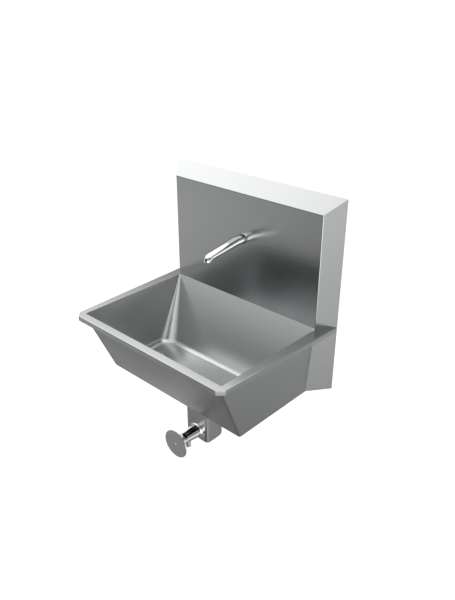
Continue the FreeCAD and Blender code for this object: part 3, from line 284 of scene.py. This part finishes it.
# %% [markdown]
# ## Finishes
# Each finish is built from nodes on Object coordinates, so it stays on the metal when a piece
# moves. Satin steel is rolled and then brushed in one direction: its grain is a noise squeezed
# across the brush and drawn out along it, which changes roughness and tips the surface a little.
# A second, broad noise clouds it, as handling does.

# %% A helper for metals and other finishes
GRAIN_SHARE, BUMP_STRENGTH = 0.6, 0.6
NOISE_RANGE = (0.3, 0.7)


def finish(name, color, metallic, roughness, grain, grain_depth, cloud, color_change=0.04):
    """Principled material; grain gives the noise scale along X, Y and Z, and cloud a second one."""
    look = bpy.data.materials.new(name)
    look.use_nodes = True
    tree = look.node_tree
    surface = tree.nodes["Principled BSDF"]
    surface.inputs["Metallic"].default_value = metallic
    place = add_node(tree, "ShaderNodeTexCoord").outputs["Object"]
    stretch = add_node(tree, "ShaderNodeMapping", Scale=grain)
    tree.links.new(place, stretch.inputs["Vector"])
    fine = add_node(tree, "ShaderNodeTexNoise", Scale=1.0, Detail=3.0, Roughness=0.6)
    tree.links.new(stretch.outputs[0], fine.inputs["Vector"])
    broad = add_node(tree, "ShaderNodeTexNoise", Scale=cloud, Detail=2.0, Roughness=0.5)
    tree.links.new(place, broad.inputs["Vector"])
    blend = math_node(tree, "ADD", math_node(tree, "MULTIPLY", fine.outputs["Fac"], GRAIN_SHARE),
                      math_node(tree, "MULTIPLY", broad.outputs["Fac"], 1 - GRAIN_SHARE))
    tones = add_node(tree, "ShaderNodeValToRGB")
    for stop, position, factor in zip(tones.color_ramp.elements, NOISE_RANGE,
                                      (1 - color_change, 1 + color_change)):
        stop.position = position
        stop.color = tuple(c * factor for c in color) + (1,)
    tree.links.new(blend, tones.inputs["Fac"])
    tree.links.new(tones.outputs["Color"], surface.inputs["Base Color"])
    rough = add_node(tree, "ShaderNodeMapRange", From_Min=NOISE_RANGE[0], From_Max=NOISE_RANGE[1],
                     To_Min=roughness[0], To_Max=roughness[1])
    tree.links.new(blend, rough.inputs["Value"])
    tree.links.new(rough.outputs["Result"], surface.inputs["Roughness"])
    if grain_depth:
        bump = add_node(tree, "ShaderNodeBump", Strength=BUMP_STRENGTH, Distance=grain_depth)
        tree.links.new(fine.outputs["Fac"], bump.inputs["Height"])
        tree.links.new(bump.outputs["Normal"], surface.inputs["Normal"])
    return look


# %% The finishes of this sink
STEEL, DISC_STEEL = (0.475, 0.482, 0.485), (0.66, 0.665, 0.67)
BRUSHED_ALONG_X = (12, 1400, 1400)
satin_steel = finish("satin_steel", STEEL, 1, (0.20, 0.24), BRUSHED_ALONG_X, 0.000002, 5, 0.02)
bracket_steel = finish("bracket_steel", (0.5, 0.5, 0.51), 1, (0.34, 0.46), (40, 40, 40), 0.00003, 12)
disc_steel = finish("disc_steel", DISC_STEEL, 1, (0.24, 0.32), (500, 500, 20), 0.00001, 9)
bright_steel = finish("bright_steel", (0.6, 0.6, 0.61), 1, (0.16, 0.26), (300, 300, 300), 0, 30)
chrome = finish("chrome_plate", (0.92, 0.925, 0.93), 1, (0.03, 0.07), (60, 60, 60), 0, 14, 0.01)
brass = finish("machined_brass", (0.62, 0.45, 0.2), 1, (0.22, 0.36), (200, 200, 900), 0.00002, 20)
copper = finish("copper_tube", (0.62, 0.3, 0.18), 1, (0.24, 0.42), (40, 40, 200), 0, 16, 0.12)
rubber = finish("grey_rubber", (0.2, 0.2, 0.2), 0, (0.55, 0.7), (400, 400, 400), 0.00003, 30, 0.2)
nylon = finish("pale_nylon", (0.7, 0.69, 0.65), 0, (0.4, 0.52), (300, 300, 300), 0.00002, 25)
SLOT_LOOKS = {"steel": satin_steel, "bracket_steel": bracket_steel, "pad_steel": disc_steel,
              "fastener_steel": bright_steel, "chrome": chrome, "brass": brass, "copper": copper,
              "rubber": rubber, "plastic": nylon}
print("finishes:", ", ".join(sorted(SLOT_LOOKS)))

# %% [markdown]
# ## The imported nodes
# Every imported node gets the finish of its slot. Its mesh is made of loose triangles, so round
# parts of it would show flat facets, and long thin triangles would spread a small round's shade
# over a whole flat. A merged copy stands for it: each of its corners gets the mean normal of the
# faces that lie nearly in line, weighed by their size, so a large flat stays flat up to its edge.

# %% Finishes on the nodes
slot_of = {row["node"]: row["material_slot"] for row in frame["record"]["subparts"]}
body_of = {node: body for body, members in frame["record"]["behaviour"]["bodies"].items()
           for node in members}
for name, node in nodes.items():
    node.data.materials.clear()
    node.data.materials.append(SLOT_LOOKS[slot_of[name]])
print("%d nodes on %d bodies" % (len(slot_of), len(set(body_of.values()))))

# %% Normals for each corner of a face
SMOOTH_BELOW = math.radians(32)


def shade_by_corner(mesh):
    """Give each face corner the mean normal of the faces round its vertex within an angle."""
    vertex_of = np.empty(len(mesh.loops), int)
    mesh.loops.foreach_get("vertex_index", vertex_of)
    sides = np.empty(len(mesh.polygons), int)
    mesh.polygons.foreach_get("loop_total", sides)
    face_of = np.repeat(np.arange(len(sides)), sides)
    normal = np.empty(len(sides) * 3)
    mesh.polygons.foreach_get("normal", normal)
    normal = normal.reshape(-1, 3)
    area = np.empty(len(sides))
    mesh.polygons.foreach_get("area", area)
    # pair every corner with every face round the same vertex
    order = np.argsort(vertex_of, kind="stable")
    first = np.searchsorted(vertex_of[order], vertex_of)
    count = np.bincount(vertex_of, minlength=len(mesh.vertices))[vertex_of]
    corner = np.repeat(np.arange(len(vertex_of)), count)
    step = np.arange(len(corner)) - np.repeat(np.cumsum(count) - count, count)
    other = face_of[order[np.repeat(first, count) + step]]
    # add up those that lie nearly in line with the corner's own face
    near = np.einsum("ij,ij->i", normal[face_of[corner]], normal[other]) > math.cos(SMOOTH_BELOW)
    weighed = normal[other] * (area[other] * near)[:, None]
    total = np.stack([np.bincount(corner, weighed[:, axis], len(vertex_of))
                      for axis in range(3)], 1)
    length = np.linalg.norm(total, axis=1, keepdims=True)
    mesh.normals_split_custom_set(total / np.maximum(length, 1e-12))


# %% [markdown]
# Folded sheet never has a knife edge: handling and brushing round it a little, and that thin
# round catches the light along every edge. It is a small bevel on the copies of the folded
# pieces, after their flat triangles are joined into whole faces.

# %% A smooth copy of each node
MERGE = 0.000005
FLAT_WITHIN = math.radians(0.3)
EDGE_WEAR, WEAR_STEPS = 0.0006, 2
FOLDED_SLOTS = ("steel", "bracket_steel", "pad_steel")


def round_edges(piece, name, width, angle):
    """Bevel the edges of a piece that are sharper than an angle."""
    bevel = piece.modifiers.new(name, "BEVEL")
    bevel.width, bevel.segments = width, WEAR_STEPS
    bevel.limit_method, bevel.angle_limit = "ANGLE", angle
    bpy.ops.object.modifier_apply(modifier=bevel.name)


def stand_for(piece, name):
    """Let a piece ride on a node's body and hide the node."""
    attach(piece, body_of[name])
    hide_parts(name)


def smooth_copy(name):
    """A merged copy of a node with its own corner normals, which stands for the node."""
    start_clean()
    piece = bpy.data.objects.new(name + "_skin", nodes[name].data.copy())
    scene.collection.objects.link(piece)
    bpy.context.view_layer.objects.active = piece
    piece.select_set(True)
    folded = slot_of[name] in FOLDED_SLOTS
    bpy.ops.object.mode_set(mode="EDIT")
    bpy.ops.mesh.select_all(action="SELECT")
    bpy.ops.mesh.remove_doubles(threshold=MERGE)
    if folded:
        bpy.ops.mesh.dissolve_limited(angle_limit=FLAT_WITHIN)
    bpy.ops.object.mode_set(mode="OBJECT")
    if folded:
        round_edges(piece, "worn_edges", EDGE_WEAR, SMOOTH_BELOW)
    bpy.ops.object.shade_smooth()
    shade_by_corner(piece.data)
    stand_for(piece, name)


MODELLED_HERE = ("spout",)
for name in sorted(set(nodes) - set(MODELLED_HERE)):
    smooth_copy(name)
print("%d smooth copies" % (len(nodes) - len(MODELLED_HERE)))

# %% [markdown]
# ## The return spring
# The spring is squeezed when the knee pushes the disc: its rear end stands still and its front
# end goes with the stem. A rigid copy would run into the stem; here the copy is only given a
# mesh of its own.

# %% The spring's copy gets a mesh of its own
joint = frame["record"]["behaviour"]["joints"][0]
squeezed = joint["deforming_nodes"][0]
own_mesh(bpy.data.objects[squeezed["node"] + "_skin"])

# %% [markdown]
# ## The spout
# The real spout is one chromed casting: a level root, a knee, an arm that falls and narrows, and
# a short nozzle. It could be a curve with a bevel, but then its ends and its bore would have to
# be made apart. Here a disc is extruded along the arm instead, and turned and narrowed at each
# step, as by hand. First come the stations: a place out from the wall, a level above the deck,
# and a heading in degrees of fall.

# %% The stations along the spout's middle line
SPOUT_LEVEL = 0.1725
SPOUT_FOOT, SPOUT_KNEE, SPOUT_REACH, ARM_DROP = 0.046, 0.072, 0.170, 0.0145
FOOT_EDGE, ROOT_MIDDLE = 0.0008, 0.060
SPOUT_FALL = math.atan(ARM_DROP / (SPOUT_REACH - SPOUT_KNEE))
NOZZLE_DOWN, NOZZLE_LENGTH = math.radians(78), 0.01125
KNEE_BEND, NOZZLE_BEND = 0.06, 0.0115
KNEE_STEPS, NOZZLE_STEPS = 4, 9


def onward(place, distance):
    """The place a distance further along a place's heading."""
    out, level, heading = place
    return out + distance * math.cos(heading), level - distance * math.sin(heading), heading


def bend(corner, radius, start, end, steps):
    """Stations along an arc that rounds a corner between two headings."""
    out, level, _ = onward((*corner, start), -radius * math.tan((end - start) / 2))
    stations = []
    for step in range(steps + 1):
        heading = start + (end - start) * step / steps
        stations.append((out + radius * (math.sin(heading) - math.sin(start)),
                         level - radius * (math.cos(start) - math.cos(heading)), heading))
    return stations


nozzle_corner = (SPOUT_REACH, SPOUT_LEVEL - ARM_DROP)
mouth = onward((*nozzle_corner, NOZZLE_DOWN), NOZZLE_LENGTH)
line = [(SPOUT_FOOT + FOOT_EDGE, SPOUT_LEVEL, 0.0), (ROOT_MIDDLE, SPOUT_LEVEL, 0.0)]
line += bend((SPOUT_KNEE, SPOUT_LEVEL), KNEE_BEND, 0.0, SPOUT_FALL, KNEE_STEPS)
line += bend(nozzle_corner, NOZZLE_BEND, SPOUT_FALL, NOZZLE_DOWN, NOZZLE_STEPS) + [mouth]
runs = [0.0]
for here, there in zip(line, line[1:]):
    runs.append(runs[-1] + math.hypot(there[0] - here[0], there[1] - here[1]))
print("%d stations over %.1f mm" % (len(line), runs[-1] * 1000))

# %% [markdown]
# The disc starts at the end of the shank behind the splashback. A few extrusions out and in
# make the foot's edge and, at the far end, the bore of the nozzle. The radius falls evenly
# along the arm.

# %% The disc extruded from station to station
ROOT_RADIUS, ARM_END_RADIUS, MOUTH_RADIUS, SHANK_RADIUS = 0.0135, 0.0101, 0.0094, 0.0104
BORE_RADIUS, BORE_DEPTH, SHANK_LENGTH = 0.0075, 0.009, 0.030
FOOT_CHAMFER, BORE_DRAFT = 0.0006, 0.0001
SIDES = 48
start_clean()
bpy.ops.mesh.primitive_circle_add(vertices=SIDES, radius=SHANK_RADIUS, fill_type="NGON",
                                  location=(0, SHANK_LENGTH - SPOUT_FOOT, SPOUT_LEVEL),
                                  rotation=(math.pi / 2, 0, 0))
spout = bpy.context.object
spout.name = "spout_casting"
bpy.ops.object.transform_apply(location=True, rotation=True, scale=True)
bpy.ops.object.mode_set(mode="EDIT")
bpy.ops.mesh.select_all(action="SELECT")


def extrude_through(here, radius, stations):
    """Carry the selected disc through (place, radius) pairs, turning it to each new heading."""
    for there, next_radius in stations:
        move = (0, here[0] - there[0], there[1] - here[1])
        bpy.ops.mesh.extrude_region_move(TRANSFORM_OT_translate={"value": move})
        middle = (0, -there[0], there[1])
        if there[2] != here[2]:
            bpy.ops.transform.rotate(value=here[2] - there[2], orient_axis="X",
                                     center_override=middle)
        if next_radius != radius:
            bpy.ops.transform.resize(value=(next_radius / radius,) * 3, center_override=middle)
        here, radius = there, next_radius


foot = (SPOUT_FOOT, SPOUT_LEVEL, 0.0)
arm = [(place, ROOT_RADIUS + (ARM_END_RADIUS - ROOT_RADIUS) * min(run / runs[-2], 1))
       for place, run in zip(line[:-1], runs)]
stations = [(foot, SHANK_RADIUS), (foot, ROOT_RADIUS - FOOT_CHAMFER), *arm, (mouth, MOUTH_RADIUS),
            (mouth, BORE_RADIUS), (onward(mouth, -BORE_DEPTH), BORE_RADIUS - BORE_DRAFT)]
extrude_through((SPOUT_FOOT - SHANK_LENGTH, SPOUT_LEVEL, 0.0), SHANK_RADIUS, stations)
bpy.ops.mesh.select_all(action="SELECT")
bpy.ops.mesh.normals_make_consistent(inside=False)
bpy.ops.object.mode_set(mode="OBJECT")
print("%d faces along the spout" % len(spout.data.polygons))

# %% The spout's edges and finish
SMALL_EDGE, SHARP_ABOVE, SPOUT_SMOOTH = 0.0005, math.radians(50), math.radians(40)
round_edges(spout, "small_edges", SMALL_EDGE, SHARP_ABOVE)
bpy.ops.object.shade_smooth_by_angle(angle=SPOUT_SMOOTH)
spout.data.materials.append(chrome)
stand_for(spout, "spout")
reach = [vertex.co.y * 1000 for vertex in spout.data.vertices]
packed_low, packed_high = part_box("spout")
print("spout from y %.1f to %.1f mm, packed %.1f to %.1f mm"
      % (min(reach), max(reach), packed_low.y * 1000, packed_high.y * 1000))

# %% [markdown]
# ## The end

# %% Finish
bpy.context.view_layer.update()
